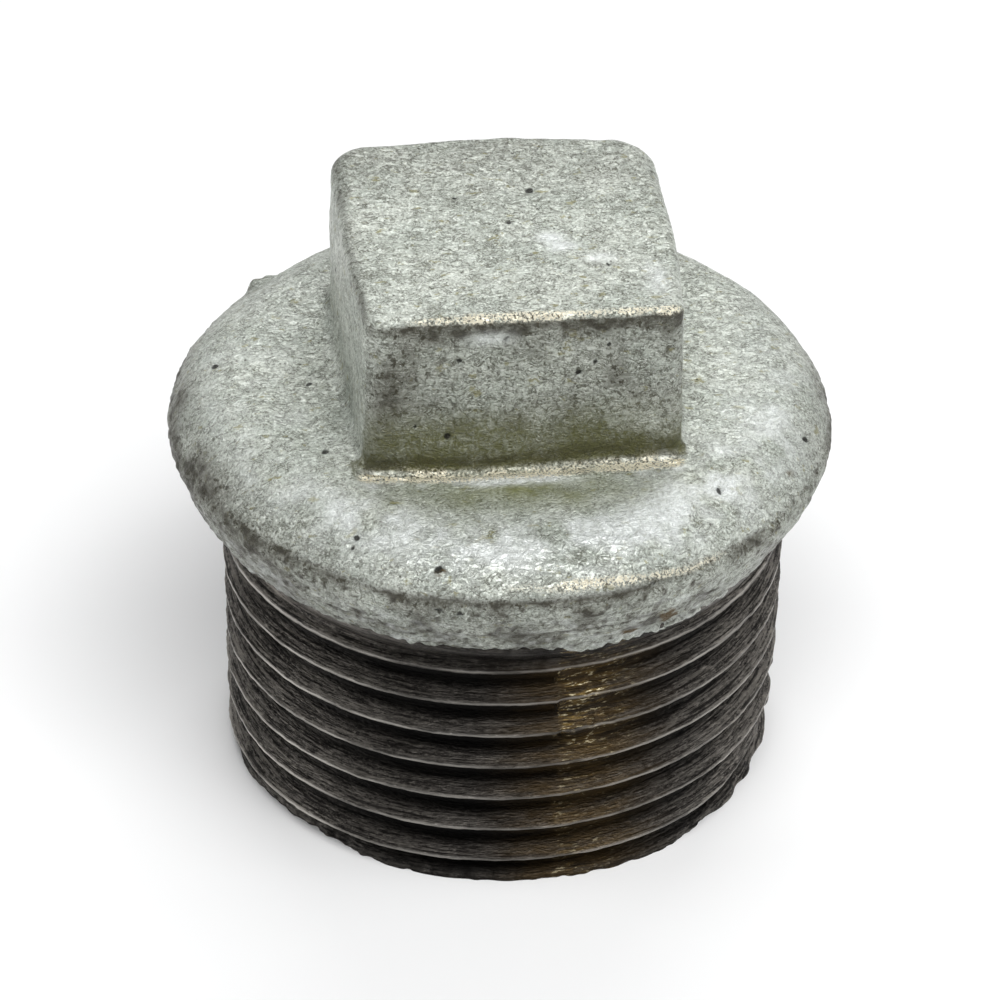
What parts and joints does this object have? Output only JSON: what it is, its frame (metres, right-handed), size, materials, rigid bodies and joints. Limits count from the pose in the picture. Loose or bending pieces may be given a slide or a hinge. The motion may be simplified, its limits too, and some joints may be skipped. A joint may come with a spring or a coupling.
{
  "type": "pipe plug",
  "caption": "Square-head pipe plug with a domed collar and a male taper thread, for closing an internally threaded pipe port.",
  "frame": {"origin": "centre of the open thread end, in the plane of the end face", "axes": "+Z along the thread axis towards the square head; +X and +Y square to the head's flats"},
  "size_m": [0.039, 0.039, 0.0352],
  "materials": {
    "zinc_coat": "hot-dip galvanised casting skin, pale grey-green, finely wrinkled, satin",
    "bare_iron": "lathe-cut iron, dark grey-brown with an oily film, brighter worn crests"
  },
  "bodies": {
    "root": {"square_head": "zinc_coat", "head_foot": "zinc_coat", "collar": "zinc_coat", "neck": "bare_iron", "shank": "bare_iron", "male_thread": "bare_iron"}
  },
  "joints": []
}
